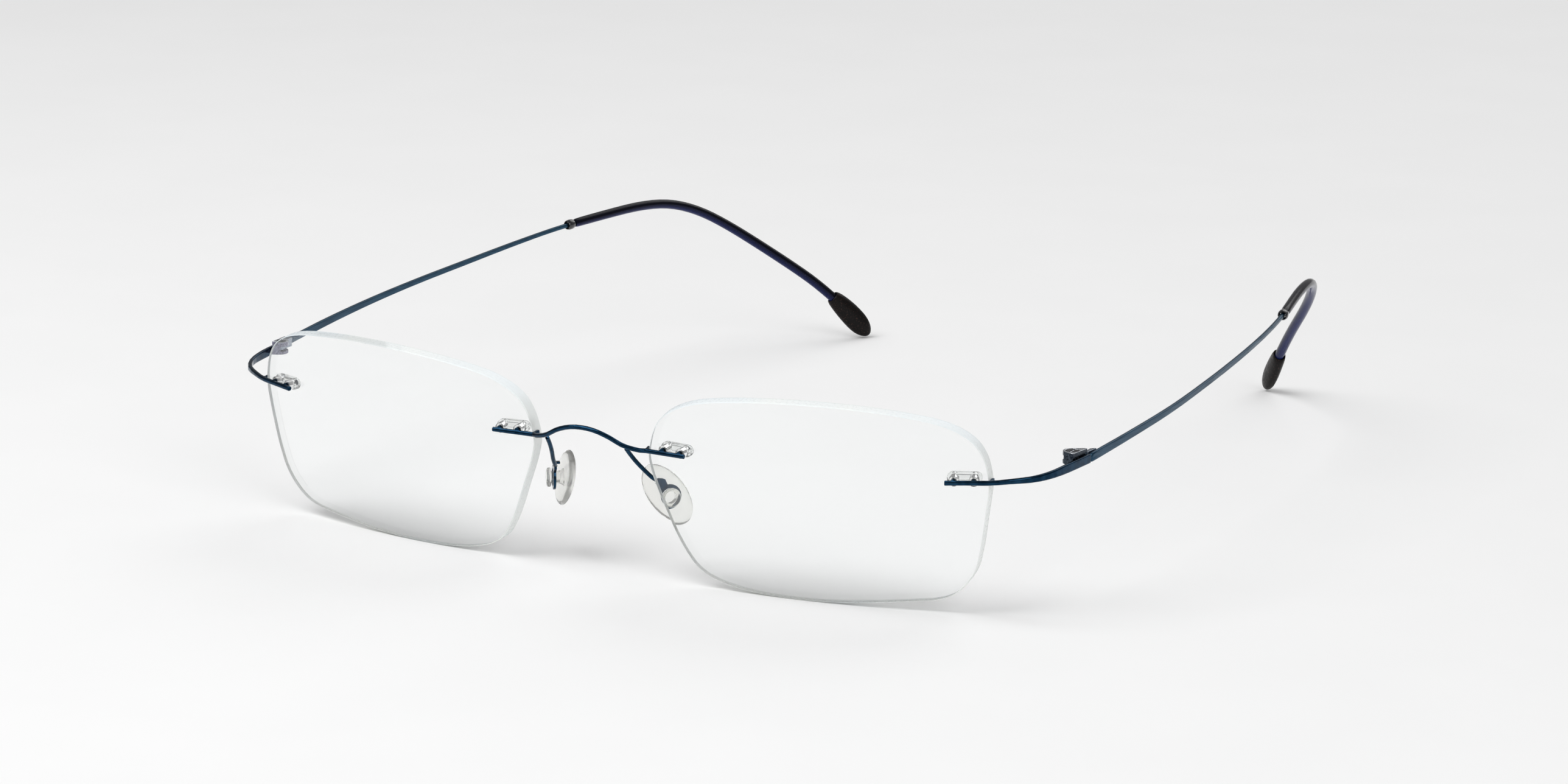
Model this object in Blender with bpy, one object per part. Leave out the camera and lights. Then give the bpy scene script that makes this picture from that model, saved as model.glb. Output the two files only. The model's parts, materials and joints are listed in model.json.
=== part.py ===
"""Rimless eyeglasses: two drilled clear lenses, a wire bridge with nose pads, end pieces,
barrel hinges and two folding temples with soft ends.

Frame: metres, +X to the wearer's left, -Y to the front, +Z up. The glasses stand on the lower
edges of the lenses and on the temple tips, and the origin is under the middle of the object.
Sizes below are in millimetres and are turned into metres by MM.
"""

from math import cos, pi, radians, sin

import bmesh
import bpy
import numpy as np
from mathutils import Matrix, Vector

MM = 0.001
LEFT, RIGHT = 1, -1
SIDE_NAMES = {LEFT: "left", RIGHT: "right"}

# Where the lens centre lies, from the middle plane, the front datum and the table.
LENS_CENTRE = (33.1, 2.0, 13.835)
FRONT_TO_MIDDLE = 73.05
LENS_WRAP = radians(8.4)
LENS_TILT = radians(8.4)
LENS_CURVE_RADIUS = 94.0
LENS_THICKNESS = 1.75
LENS_RINGS = 4
LENS_SEGMENTS = 64
# Corners and side middles of the lens outline, from the nasal side round over the top:
# width from the lens centre (outwards positive) and height.
LENS_OUTLINE = (
    (-23.7, 1.4), (-24.0, 4.6), (-22.4, 8.9), (-18.5, 11.6), (-12.7, 13.05), (-4.0, 13.95),
    (5.1, 14.05), (13.3, 13.35), (19.0, 12.0), (22.7, 9.2), (24.0, 4.5), (23.3, -0.5),
    (22.6, -5.2), (21.2, -9.2), (17.7, -12.2), (11.5, -13.1), (2.0, -14.0), (-7.0, -14.1),
    (-13.2, -13.4), (-17.1, -11.8), (-19.6, -8.4), (-21.7, -3.8),
)

# Compression mounts: two pins of each metal end press into a clear double bush.
MOUNT_HEIGHT = 4.85
LENS_EDGE = 23.98
NASAL_PINS = (-19.1, -21.8)
TEMPORAL_PINS = (19.35, 22.0)
PIN_RADIUS = 0.37
BUSH_BORE_RADIUS = 0.42
BUSH_SLEEVE_RADIUS = 0.65
LENS_HOLE_RADIUS = 0.7
BUSH_CAP_RADIUS = 0.8
BUSH_CAP_SPREAD = 0.25
BUSH_DEPTH = 0.9
BUSH_WEB_HEIGHT = 1.1
BUSH_WEB_DEPTH = 0.7
FACE_GAP = 0.04
BUSH_START = LENS_THICKNESS + 0.04
BUSH_END = BUSH_START + BUSH_DEPTH
PIN_END = BUSH_END - 0.12
ROUND_STEPS = 12
BORE_STEPS = 20
# Cutters reach this far past the faces they open.
CUT_REACH = 1.0
WELD_DISTANCE = 1e-6
SHARP_ANGLE = radians(35)
FLAT_ANGLE = radians(1)

# Bridge wire and the hooks that lie against the lens edges.
WIRE_RADIUS = 0.34
# Distance from the lens centre and height of each bar, from its tip to the lens edge.
NASAL_BAR = ((18.3, 4.75), (20.6, 4.65), (24.3, 4.45))
TEMPORAL_BAR = ((18.3, 4.75), (21.0, 4.8), (24.3, 4.8))
HOOK_HALF_HEIGHT = 0.3
HOOK_WIDTH = 0.42
HOOK_GAP = 0.05
HOOK_DEPTH = 0.8
ARCH = ((7.9, 0.15, 18.75), (6.0, -0.7, 19.3), (4.0, -1.3, 20.38), (2.0, -1.55, 21.05))
ARCH_TOP = (0.0, -1.6, 21.25)

# Nose pad arms, pads and the upright axis in the eyelet that each pad rocks on.
ARM_RADIUS = 0.31
ARM_PATH = ((6.15, -0.15, 18.8), (6.3, 0.75, 17.8), (6.65, 1.9, 16.5), (7.3, 3.4, 14.9), (7.7, 4.5, 13.9))
PAD_CENTRE = (8.1, 8.05, 11.15)
PAD_TURN = (radians(-0.6), radians(-36.9), radians(38.5))
PAD_HALF_LENGTH = 4.9
PAD_HALF_WIDTH = 2.8
PAD_HALF_THICKNESS = 0.55
EYELET_CENTRE = (9.28, 7.0, 11.27)
EYELET_TURN = radians(54)
EYELET_RADIUS = 1.7
EYELET_HOLE = 1.2
EYELET_THICKNESS = 0.36
# The flat end of the arm, along the eyelet's plane and up, and the lug bent from it towards the pad.
PADDLE = ((-2.5, 1.75), (-2.1, 2.65), (-1.5, 2.7), (-0.7, 2.5), (-0.2, 1.5), (-1.3, 0.9))
PADDLE_JOIN = (-2.0, 2.1)
LUG_LOW = (-1.5, 2.2)
LUG_HIGH = (-0.75, 2.5)
LUG_REACH = 0.7
NECK_RADIUS = 0.85
NECK_START = -1.3
HEAD_RADIUS = 1.35
HEAD_START = 0.45
HEAD_END = 1.05

# End pieces: round at the lens, turning into an upright strip at the hinge.
END_PATH = (
    (59.2, 9.2, 19.25), (61.3, 11.05, 19.4), (62.65, 13.8, 19.6), (63.3, 17.8, 19.8), (63.7, 23.15, 19.95)
)
STRIP_THICKNESS = 0.5
STRIP_HEIGHT = 1.25
STRIP_CORNER = 0.28
ROUND_CORNER = 0.8
# Lengths of the round part from the tip of the bar, and of the full-height strip at the hinge.
ROUND_LENGTH = 8.0
STRIP_LENGTH = 6.0
END_STATIONS = 18

# Hinges: the front barrel is a forked block, and the temple's knuckle turns inside it.
HINGE_CENTRE = (62.17, 21.0, 20.4)
HINGE_LEAN = radians(0.8)
BARREL_RADIUS = 1.27
BARREL_BOTTOM = -0.85
BARREL_TOP = 0.9
FORK_BOTTOM = -0.4
FORK_TOP = 0.25
FORK_BACK = -0.93
FORK_REACH = 4.0
BARREL_TAIL = 2.1
BARREL_NOSE = -1.6
BARREL_NOSE_INNER = 0.5
BARREL_TAIL_INNER = 0.75
# How far out the strip's inner face lies, by distance behind the screw.
STRIP_FACES = ((-1.6, 0.88), (0.0, 1.05), (2.1, 1.19), (2.45, 1.21), (4.7, 1.31))
KNUCKLE_RADIUS = 0.84
KNUCKLE_GAP = 0.04
SCREW_RADIUS = 0.45
SCREW_CLEARANCE = 0.05
SCREW_HEAD_RADIUS = 0.9
SCREW_HEAD_HEIGHT = 0.34
SCREW_SLOT_WIDTH = 0.3
SCREW_SLOT_DEPTH = 0.16
LEAF_START = 2.45
LEAF_END = 4.7
LEAF_THICKNESS = 0.55
LEAF_BOTTOM = -0.85
LEAF_TOP = 0.4

# Temples: centre line, then where the strip, collar, sleeve and tip begin along it.
TEMPLE_PATH = (
    (63.72, 23.25, 19.97), (64.2, 35.0, 20.85), (64.25, 47.4, 21.65), (63.65, 59.0, 22.4),
    (62.65, 71.0, 23.1), (61.35, 83.2, 23.9), (59.6, 94.4, 24.65), (56.75, 106.3, 25.25),
    (55.35, 112.3, 25.3), (53.85, 118.1, 24.65), (51.85, 123.6, 22.75), (49.4, 128.4, 19.85),
    (46.5, 132.7, 16.5), (43.4, 136.7, 13.05), (40.4, 140.6, 9.5), (37.4, 144.2, 5.3), (33.75, 148.05, -0.4),
)
COLLAR_START = 72.7
SLEEVE_START = 74.3
TIP_START = 130.6
SLEEVE_END = 132.1
CORE_END = 131.3
CORE_SIZE = 0.74
TEMPLE_HEIGHTS = ((0.0, 1.25), (12.0, 1.08), (32.0, 0.84), (50.0, 0.74), (66.0, 0.6), (77.0, CORE_SIZE))
TEMPLE_WIDTHS = ((0.0, 0.5), (66.0, 0.5), (77.0, CORE_SIZE))
# The strip's corners open out into a round rod over this stretch.
ROUNDING = ((66.0, 0.28), (77.0, 1.0))
SLEEVE_BORE = 0.9
SLEEVE_SIZES = ((74.0, 1.42), (90.0, 1.48), (118.0, 1.56), (132.5, 1.56))
COLLAR_SIZE = 1.66
COLLAR_GAP = 0.1
TIP_BORE = 1.64
TIP_BORE_DEPTH = 1.7
# The tip is a flat paddle: distance from its start, height and width.
TIP_SIZES = (
    (0.0, 2.1, 2.0), (0.5, 2.6, 2.1), (1.5, 3.0, 2.15), (3.0, 3.4, 2.15), (4.8, 3.6, 2.1),
    (6.4, 3.5, 2.0), (7.5, 3.0, 1.8), (8.3, 2.2, 1.4), (8.8, 1.3, 0.9), (9.0, 0.6, 0.45),
)
PATH_STEP = 3.3
# How far before and behind a station a path's direction is taken.
NEAR = 0.1

METAL_BLUE = ((0.012, 0.035, 0.085, 1), 0.22, 1.0)
METAL_HINGE = ((0.32, 0.38, 0.44, 1), 0.25, 1.0)
METAL_SCREW = ((0.08, 0.085, 0.1, 1), 0.25, 1.0)
CLEAR_LENS = ((0.93, 0.95, 0.95, 1), 0.05, 0.0)
CLEAR_PAD = ((0.9, 0.9, 0.86, 1), 0.15, 0.0)
SLEEVE_BLUE = ((0.02, 0.025, 0.045, 1), 0.15, 0.0)
TIP_DARK = ((0.012, 0.009, 0.008, 1), 0.3, 0.0)


def clear_scene():
    for old in list(bpy.data.objects):
        bpy.data.objects.remove(old)


def new_collection(name, helper=False):
    collection = bpy.data.collections.new(name)
    bpy.context.scene.collection.children.link(collection)
    collection.hide_render = helper
    return collection


def material(name, look):
    colour, roughness, metallic = look
    made = bpy.data.materials.new(name)
    made.use_nodes = True
    shader = made.node_tree.nodes["Principled BSDF"]
    shader.inputs["Base Color"].default_value = colour
    shader.inputs["Roughness"].default_value = roughness
    shader.inputs["Metallic"].default_value = metallic
    made.diffuse_color = colour
    return made


def place(side, point):
    """A point given from the middle plane, the front datum and the table, on one side."""
    x, y, z = point
    return Vector((side * x, y - FRONT_TO_MIDDLE, z)) * MM


def lens_frame(side):
    """Turns lens coordinates (outwards along +-X, back along +Y, up along +Z) into world ones."""
    turn = Matrix.Rotation(side * LENS_WRAP, 4, "Z") @ Matrix.Rotation(LENS_TILT, 4, "X")
    return Matrix.Translation(place(side, LENS_CENTRE)) @ turn


def lens_sag(across, up):
    """How far back the front surface lies at a place on the lens."""
    return LENS_CURVE_RADIUS - (LENS_CURVE_RADIUS**2 - across**2 - up**2) ** 0.5


def lens_point(side, across, back, up):
    return lens_frame(side) @ (Vector((side * across, back, up)) * MM)


def hinge_frame(side):
    """Origin on the screw's axis, +Z along it; both axes lean the same way, towards +X."""
    return Matrix.Translation(place(side, HINGE_CENTRE)) @ Matrix.Rotation(HINGE_LEAN, 4, "Y")


def pad_frame(side):
    """+X across the pad, -Y out along its boss to the eyelet, +Z along the pad."""
    rx, ry, rz = PAD_TURN
    turn = Matrix.Rotation(rz, 4, "Z") @ Matrix.Rotation(ry, 4, "Y") @ Matrix.Rotation(rx, 4, "X")
    flip = Matrix.Scale(side, 4, (1, 0, 0))
    return Matrix.Translation(place(side, PAD_CENTRE)) @ flip @ turn @ flip


def eyelet_frame(side):
    """+Z out of the eyelet along the pad's boss, away from the nose, and +Y up."""
    turn = Matrix.Rotation(side * EYELET_TURN, 4, "Z") @ Matrix.Rotation(pi / 2, 4, "X")
    return Matrix.Translation(place(side, EYELET_CENTRE)) @ turn


def smooth_closed(points, count):
    """Evenly spread points on the smooth closed curve through the given ones."""
    knots = np.array(points, float)
    size = len(knots)
    fine = []
    for i in range(size):
        a, b, c, d = (knots[(i + k) % size] for k in (-1, 0, 1, 2))
        for t in np.arange(0, 1, 0.05):
            fine.append(catmull(a, b, c, d, t))
    return spread(np.array(fine + [fine[0]]), count + 1)[:-1]


def catmull(a, b, c, d, t):
    return 0.5 * (2 * b + (c - a) * t + (2 * a - 5 * b + 4 * c - d) * t**2 + (3 * b - a - 3 * c + d) * t**3)


def smooth_open(points):
    """Closely spaced points on the smooth curve through the given ones."""
    knots = np.array(points, float)
    ends = np.vstack([2 * knots[0] - knots[1], knots, 2 * knots[-1] - knots[-2]])
    fine = []
    for i in range(len(knots) - 1):
        a, b, c, d = ends[i : i + 4]
        for t in np.arange(0, 1, 0.05):
            fine.append(catmull(a, b, c, d, t))
    return np.array(fine + [knots[-1]])


def lengths_along(points):
    steps = np.linalg.norm(np.diff(points, axis=0), axis=1)
    return np.concatenate([[0], np.cumsum(steps)])


def at_lengths(points, lengths):
    """The points of a fine polyline that lie at the given distances along it."""
    along = lengths_along(points)
    return np.stack([np.interp(lengths, along, points[:, k]) for k in range(points.shape[1])], axis=1)


def spread(points, count):
    return at_lengths(points, np.linspace(0, lengths_along(points)[-1], count))


def add_object(name, mesh, look, collection, matrix=None):
    made = bpy.data.objects.new(name, mesh)
    made.matrix_world = matrix or Matrix.Identity(4)
    if look:
        mesh.materials.append(look)
    collection.objects.link(made)
    return made


def skin(name, rings, look, collection, matrix=None, closed=False):
    """A surface over rings of equal size: capped at both ends, or joined round into a tube wall."""
    shape = bmesh.new()
    loops = [[shape.verts.new(point) for point in ring] for ring in rings]
    pairs = list(zip(loops, loops[1:]))
    if closed:
        pairs.append((loops[-1], loops[0]))
    for first, second in pairs:
        for i, start in enumerate(first):
            j = (i + 1) % len(first)
            shape.faces.new((start, first[j], second[j], second[i]))
    if not closed:
        shape.faces.new(loops[0])
        shape.faces.new(loops[-1])
    bmesh.ops.recalc_face_normals(shape, faces=shape.faces)
    return finish(name, shape, look, collection, matrix)


def finish(name, shape, look, collection, matrix=None):
    mesh = bpy.data.meshes.new(name)
    shape.to_mesh(mesh)
    shape.free()
    mesh.shade_smooth()
    mesh.set_sharp_from_angle(angle=SHARP_ANGLE)
    return add_object(name, mesh, look, collection, matrix)


def ring_at(centre, direction, height, width, corner):
    """A rounded section across a path: height upwards, width sideways; corner 1 makes it round."""
    forward = Vector(direction).normalized()
    side = forward.cross(Vector((0, 0, 1))).normalized()
    up = side.cross(forward)
    points = []
    for i in range(ROUND_STEPS):
        angle = 2 * pi * (i + 0.5) / ROUND_STEPS
        c, s = cos(angle), sin(angle)
        across = abs(c) ** corner * (1 if c > 0 else -1) * width / 2
        over = abs(s) ** corner * (1 if s > 0 else -1) * height / 2
        points.append(Vector(centre) + (side * across + up * over) * MM)
    return points


def path_rings(side, fine, stations):
    """Rings along a path at stations of (distance, height, width, corner)."""
    distances = np.array([station[0] for station in stations])
    centres = at_lengths(fine, distances)
    ahead = at_lengths(fine, distances + NEAR)
    behind = at_lengths(fine, distances - NEAR)
    rings = []
    for centre, front, back, station in zip(centres, ahead, behind, stations):
        direction = place(side, front) - place(side, back)
        rings.append(ring_at(place(side, centre), direction, *station[1:]))
    return rings


def steps_between(start, end):
    return np.linspace(start, end, max(2, round((end - start) / PATH_STEP) + 1))


def table(pairs, distance):
    return float(np.interp(distance, [pair[0] for pair in pairs], [pair[1] for pair in pairs]))


def cylinder(name, radius, start, end, matrix, collection, look=None):
    """A cylinder along the local Z axis of a matrix, from start to end."""
    shape = bmesh.new()
    middle = Matrix.Translation((0, 0, (start + end) / 2 * MM))
    bmesh.ops.create_cone(
        shape, cap_ends=True, segments=BORE_STEPS, radius1=radius * MM, radius2=radius * MM,
        depth=(end - start) * MM, matrix=middle,
    )
    return finish(name, shape, look, collection, matrix)


def box(name, low, high, matrix, collection, look=None):
    shape = bmesh.new()
    low, high = Vector(low) * MM, Vector(high) * MM
    size = high - low
    moved = Matrix.Translation((low + high) / 2) @ Matrix.Diagonal((*size, 1))
    bmesh.ops.create_cube(shape, size=1, matrix=moved)
    return finish(name, shape, look, collection, matrix)


def prism(name, outline, start, end, matrix, collection, look=None):
    """The hull of a flat set of points, upright from start to end."""
    shape = bmesh.new()
    for x, y in outline:
        for z in (start, end):
            shape.verts.new(Vector((x, y, z)) * MM)
    bmesh.ops.convex_hull(shape, input=shape.verts)
    bmesh.ops.dissolve_limit(shape, angle_limit=FLAT_ANGLE, verts=shape.verts, edges=shape.edges)
    return finish(name, shape, look, collection, matrix)


def circle_points(radius):
    angles = [2 * pi * i / BORE_STEPS for i in range(BORE_STEPS)]
    return [(radius * cos(angle), radius * sin(angle)) for angle in angles]


def combine(target, others, operation="UNION"):
    """Joins helper solids to a part, or cuts them from it."""
    for other in others:
        other.hide_render = True
        other.display_type = "WIRE"
        made = target.modifiers.new(other.name, "BOOLEAN")
        made.operation = operation
        made.object = other


def wire(name, points, radius, look, collection):
    """A round wire through the points, as a mesh with welded caps."""
    curve = bpy.data.curves.new(name, "CURVE")
    curve.dimensions = "3D"
    curve.bevel_depth = radius * MM
    curve.bevel_resolution = 2
    curve.use_fill_caps = True
    spline = curve.splines.new("POLY")
    spline.points.add(len(points) - 1)
    for knot, point in zip(spline.points, points):
        knot.co = (*point, 1)
    rough = bpy.data.objects.new(name + "_curve", curve)
    collection.objects.link(rough)
    graph = bpy.context.evaluated_depsgraph_get()
    mesh = bpy.data.meshes.new_from_object(rough.evaluated_get(graph))
    shape = bmesh.new()
    shape.from_mesh(mesh)
    bmesh.ops.remove_doubles(shape, verts=shape.verts, dist=WELD_DISTANCE)
    bmesh.ops.recalc_face_normals(shape, faces=shape.faces)
    bpy.data.objects.remove(rough)
    return finish(name, shape, look, collection)


def own_origin(made, matrix):
    """Moves an object's origin onto its joint's axis, leaving its shape where it is."""
    made.data.transform(matrix.inverted() @ made.matrix_world)
    made.matrix_world = matrix


def mount_frame(side, middle):
    """+Z runs back through the lens, square to its surface between a mount's two pins, +X along them."""
    sag = lens_sag(middle, MOUNT_HEIGHT)
    inwards = Vector((-side * middle, LENS_CURVE_RADIUS - sag, -MOUNT_HEIGHT)).normalized()
    along = (Vector((1, 0, 0)) - inwards * inwards.x).normalized()
    turn = Matrix((along, inwards.cross(along), inwards)).transposed().to_4x4()
    middle_point = Vector((side * middle, sag, MOUNT_HEIGHT)) * MM
    return lens_frame(side) @ Matrix.Translation(middle_point) @ turn


def pin_frames(side, pins):
    middle, half = sum(pins) / 2, abs(pins[0] - pins[1]) / 2
    frame = mount_frame(side, middle)
    return [frame @ Matrix.Translation((offset * MM, 0, 0)) for offset in (-half, half)]


def make_lens(side, look, parts, helpers):
    outline = smooth_closed(LENS_OUTLINE, LENS_SEGMENTS)
    shape = bmesh.new()
    front_middle = shape.verts.new((0, 0, 0))
    back_middle = shape.verts.new((0, LENS_THICKNESS * MM, 0))
    fronts, backs = [], []
    for ring in range(1, LENS_RINGS + 1):
        grown = outline * ring / LENS_RINGS
        for loops, deeper in ((fronts, 0), (backs, LENS_THICKNESS)):
            points = [Vector((side * u, lens_sag(u, v) + deeper, v)) * MM for u, v in grown]
            loops.append([shape.verts.new(point) for point in points])
    for i in range(LENS_SEGMENTS):
        j = (i + 1) % LENS_SEGMENTS
        shape.faces.new((front_middle, fronts[0][i], fronts[0][j]))
        shape.faces.new((back_middle, backs[0][i], backs[0][j]))
        shape.faces.new((fronts[-1][i], fronts[-1][j], backs[-1][j], backs[-1][i]))
        for loops in (fronts, backs):
            for inner, outer in zip(loops, loops[1:]):
                shape.faces.new((inner[i], outer[i], outer[j], inner[j]))
    bmesh.ops.recalc_face_normals(shape, faces=shape.faces)
    name = f"lens_{SIDE_NAMES[side]}"
    lens = finish(name, shape, look, parts, lens_frame(side))
    ends = (-CUT_REACH, LENS_THICKNESS + CUT_REACH)
    for number, frame in enumerate(pin_frames(side, NASAL_PINS) + pin_frames(side, TEMPORAL_PINS)):
        hole = cylinder(f"{name}_hole_{number}", LENS_HOLE_RADIUS, *ends, frame, helpers)
        combine(lens, [hole], "DIFFERENCE")


def make_bush(side, place_name, pins, look, parts, helpers):
    """Two sleeves through the lens, joined behind it by a web between two round caps."""
    name = f"{place_name}_bush_{SIDE_NAMES[side]}"
    frame = mount_frame(side, sum(pins) / 2)
    half = abs(pins[0] - pins[1]) / 2
    low = (-half, -BUSH_WEB_HEIGHT / 2, BUSH_START)
    high = (half, BUSH_WEB_HEIGHT / 2, BUSH_START + BUSH_WEB_DEPTH)
    web = box(name, low, high, frame, parts, look)
    frames = pin_frames(side, pins)
    for number, (pin, outwards) in enumerate(zip(frames, (-1, 1))):
        moved = pin @ Matrix.Translation((outwards * BUSH_CAP_SPREAD * MM, 0, 0))
        cap = cylinder(f"{name}_cap_{number}", BUSH_CAP_RADIUS, BUSH_START, BUSH_END, moved, helpers)
        ends = (2 * FACE_GAP, BUSH_START + BUSH_WEB_DEPTH / 2)
        sleeve = cylinder(f"{name}_sleeve_{number}", BUSH_SLEEVE_RADIUS, *ends, pin, helpers)
        combine(web, [cap, sleeve])
    for number, pin in enumerate(frames):
        ends = (-CUT_REACH, BUSH_END + CUT_REACH)
        bore = cylinder(f"{name}_bore_{number}", BUSH_BORE_RADIUS, *ends, pin, helpers)
        combine(web, [bore], "DIFFERENCE")


def mount_pieces(name, side, pins, edge_sign, bar, helpers):
    """The pins of one mount, and the hook that lies against the lens edge and stops it turning."""
    pieces = []
    for number, frame in enumerate(pin_frames(side, pins)):
        start = -WIRE_RADIUS - FACE_GAP
        pieces.append(cylinder(f"{name}_pin_{number}", PIN_RADIUS, start, PIN_END, frame, helpers))
    edge = LENS_EDGE + HOOK_GAP
    front = lens_sag(edge, MOUNT_HEIGHT)
    low, high = sorted((side * edge_sign * edge, side * edge_sign * (edge + HOOK_WIDTH)))
    height = bar[-1][1]
    bottom, top = height - HOOK_HALF_HEIGHT, height + HOOK_HALF_HEIGHT
    corners = ((low, front - WIRE_RADIUS, bottom), (high, front + HOOK_DEPTH, top))
    pieces.append(box(f"{name}_hook", *corners, lens_frame(side), helpers))
    return pieces


def bar_points(side, edge_sign, bar):
    """The middle of a bar that lies on the lens front, in world coordinates."""
    points = []
    for across, height in bar:
        depth = lens_sag(across, height) - WIRE_RADIUS - FACE_GAP
        points.append(lens_point(side, edge_sign * across, depth, height))
    return points


def make_bridge(look, parts, helpers):
    half = bar_points(RIGHT, -1, NASAL_BAR)
    half += [place(RIGHT, point) for point in ARCH]
    mirrored = [Vector((-point.x, point.y, point.z)) for point in reversed(half)]
    route = smooth_open(half + [place(RIGHT, ARCH_TOP)] + mirrored)
    bridge = wire("bridge", spread(route, 37), WIRE_RADIUS, look, parts)
    for side in (LEFT, RIGHT):
        pieces = mount_pieces(f"bridge_{SIDE_NAMES[side]}", side, NASAL_PINS, -1, NASAL_BAR, helpers)
        combine(bridge, pieces)


def make_pad_arm(side, look, parts, helpers):
    """A wire brazed to the arch, with a flat end that holds the eyelet for the pad's boss."""
    name = f"pad_arm_{SIDE_NAMES[side]}"
    frame = eyelet_frame(side)
    join = frame @ (Vector((side * PADDLE_JOIN[0], PADDLE_JOIN[1], 0)) * MM)
    route = smooth_open([place(side, point) for point in ARM_PATH] + [join])
    arm = wire(name, spread(route, 14), ARM_RADIUS, look, parts)
    half = EYELET_THICKNESS / 2
    plate = cylinder(f"{name}_eyelet", EYELET_RADIUS, -half, half, frame, helpers)
    outline = [(side * x, y) for x, y in PADDLE]
    paddle = prism(f"{name}_paddle", outline, -half, half, frame, helpers)
    low, high = sorted((side * LUG_LOW[0], side * LUG_HIGH[0]))
    corners = ((low, LUG_LOW[1], -LUG_REACH), (high, LUG_HIGH[1], half / 2))
    lug = box(f"{name}_lug", *corners, frame, helpers)
    hole = cylinder(f"{name}_hole", EYELET_HOLE, -CUT_REACH, CUT_REACH, frame, helpers)
    combine(arm, [plate, paddle, lug])
    combine(arm, [hole], "DIFFERENCE")


def make_pad(side, look, parts, helpers):
    """A soft oval pad with a boss through the eyelet and a round head outside it."""
    name = f"nose_pad_{SIDE_NAMES[side]}"
    shape = bmesh.new()
    bmesh.ops.create_uvsphere(shape, u_segments=20, v_segments=10, radius=MM)
    stretch = Matrix.Diagonal((PAD_HALF_WIDTH, PAD_HALF_THICKNESS, PAD_HALF_LENGTH, 1))
    bmesh.ops.transform(shape, matrix=stretch, verts=shape.verts)
    pad = finish(name, shape, look, parts, pad_frame(side))
    frame = eyelet_frame(side)
    neck = cylinder(f"{name}_neck", NECK_RADIUS, NECK_START, (HEAD_START + HEAD_END) / 2, frame, helpers)
    head = cylinder(f"{name}_head", HEAD_RADIUS, HEAD_START, HEAD_END, frame, helpers)
    combine(pad, [neck, head])
    own_origin(pad, frame)


def make_end_piece(side, look, parts, helpers):
    name = f"end_piece_{SIDE_NAMES[side]}"
    knots = [tuple(point) for point in bar_points(side, 1, TEMPORAL_BAR)]
    knots += [tuple(place(side, point)) for point in END_PATH]
    fine = smooth_open(knots) / MM
    whole = lengths_along(fine)[-1]
    strip_from = whole - STRIP_LENGTH
    rings = []
    for distance in np.linspace(0, whole, END_STATIONS):
        blend = min(max((distance - ROUND_LENGTH) / (strip_from - ROUND_LENGTH), 0), 1)
        height = 2 * WIRE_RADIUS + blend * (STRIP_HEIGHT - 2 * WIRE_RADIUS)
        width = 2 * WIRE_RADIUS + blend * (STRIP_THICKNESS - 2 * WIRE_RADIUS)
        corner = ROUND_CORNER + blend * (STRIP_CORNER - ROUND_CORNER)
        centre, front, back = at_lengths(fine, np.array([distance, distance + NEAR, distance - NEAR]))
        rings.append(ring_at(Vector(centre) * MM, front - back, height, width, corner))
    end_piece = skin(name, rings, look, parts)
    combine(end_piece, mount_pieces(name, side, TEMPORAL_PINS, 1, TEMPORAL_BAR, helpers))


def make_hinge_barrel(side, look, parts, helpers):
    name = f"hinge_barrel_{SIDE_NAMES[side]}"
    frame = hinge_frame(side)
    tail = [(side * BARREL_NOSE_INNER, BARREL_NOSE), (side * BARREL_TAIL_INNER, BARREL_TAIL)]
    tail += [(side * table(STRIP_FACES, y), y) for y in (BARREL_NOSE, 0, BARREL_TAIL)]
    rounded = [(side * min(x, table(STRIP_FACES, y)), y) for x, y in circle_points(BARREL_RADIUS)]
    barrel = prism(name, rounded + tail, BARREL_BOTTOM, BARREL_TOP, frame, parts, look)
    fork_low = (-FORK_REACH, FORK_BACK, FORK_BOTTOM)
    fork = box(f"{name}_fork", fork_low, (FORK_REACH, FORK_REACH, FORK_TOP), frame, helpers)
    hole_radius = SCREW_RADIUS + SCREW_CLEARANCE
    top = BARREL_TOP + CUT_REACH
    hole = cylinder(f"{name}_hole", hole_radius, BARREL_BOTTOM - CUT_REACH, top, frame, helpers)
    seat_depth = BARREL_TOP - SCREW_HEAD_HEIGHT - SCREW_CLEARANCE
    seat = cylinder(f"{name}_seat", SCREW_HEAD_RADIUS + SCREW_CLEARANCE, seat_depth, top, frame, helpers)
    combine(barrel, [fork, hole, seat], "DIFFERENCE")


def make_hinge_screw(side, look, parts, helpers):
    name = f"hinge_screw_{SIDE_NAMES[side]}"
    frame = hinge_frame(side)
    head_start = BARREL_TOP - SCREW_HEAD_HEIGHT
    screw = cylinder(name, SCREW_HEAD_RADIUS, head_start, BARREL_TOP, frame, parts, look)
    shank_start = BARREL_BOTTOM + SCREW_CLEARANCE
    shank_end = head_start + SCREW_HEAD_HEIGHT / 3
    shank = cylinder(f"{name}_shank", SCREW_RADIUS, shank_start, shank_end, frame, helpers)
    half = SCREW_SLOT_WIDTH / 2
    slot_low = (-half, -BARREL_RADIUS, BARREL_TOP - SCREW_SLOT_DEPTH)
    slot = box(f"{name}_slot", slot_low, (half, BARREL_RADIUS, BARREL_TOP + CUT_REACH), frame, helpers)
    combine(screw, [shank])
    combine(screw, [slot], "DIFFERENCE")


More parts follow.
